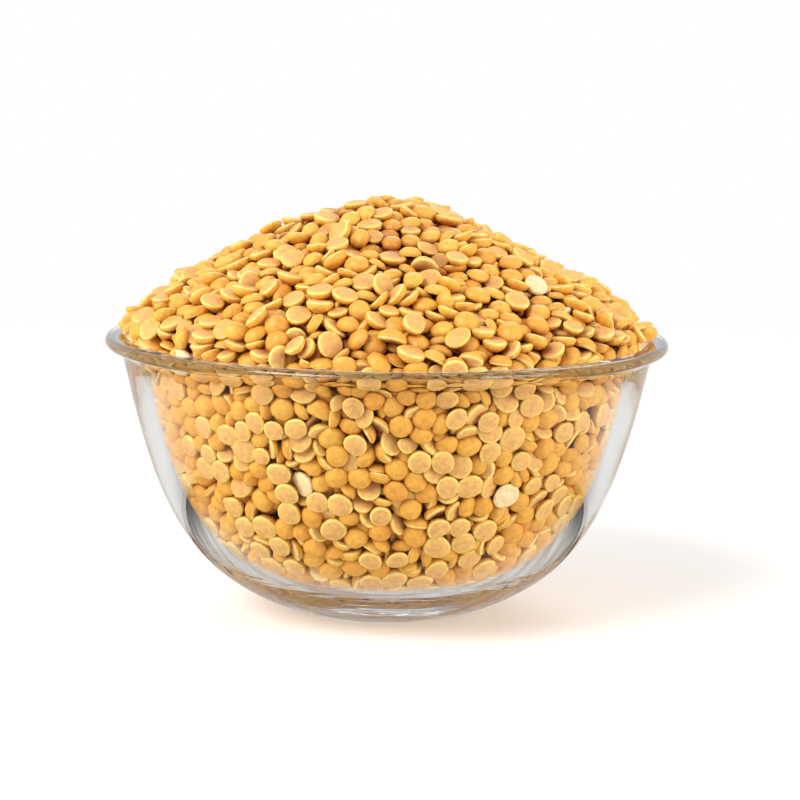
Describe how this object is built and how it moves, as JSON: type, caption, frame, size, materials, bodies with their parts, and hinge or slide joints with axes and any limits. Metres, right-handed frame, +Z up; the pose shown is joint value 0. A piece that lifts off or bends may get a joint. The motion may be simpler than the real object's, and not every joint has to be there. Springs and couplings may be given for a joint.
{
  "type": "bowl of dry split lentils",
  "caption": "Clear glass bowl with a flared rim and a thick base, heaped high above the rim with dry golden split lentils.",
  "frame": {"origin": "centre of the bowl's foot, on the surface it stands on", "axes": "+Z up along the bowl's axis, -Y towards the front view, +X to the right of it"},
  "size_m": [0.14, 0.14, 0.1057],
  "materials": {
    "glass": "clear, polished",
    "lentils": "dry, smooth, golden yellow with paler split faces"
  },
  "bodies": {
    "root": {"bowl": "glass", "lentils": "lentils"}
  },
  "joints": []
}
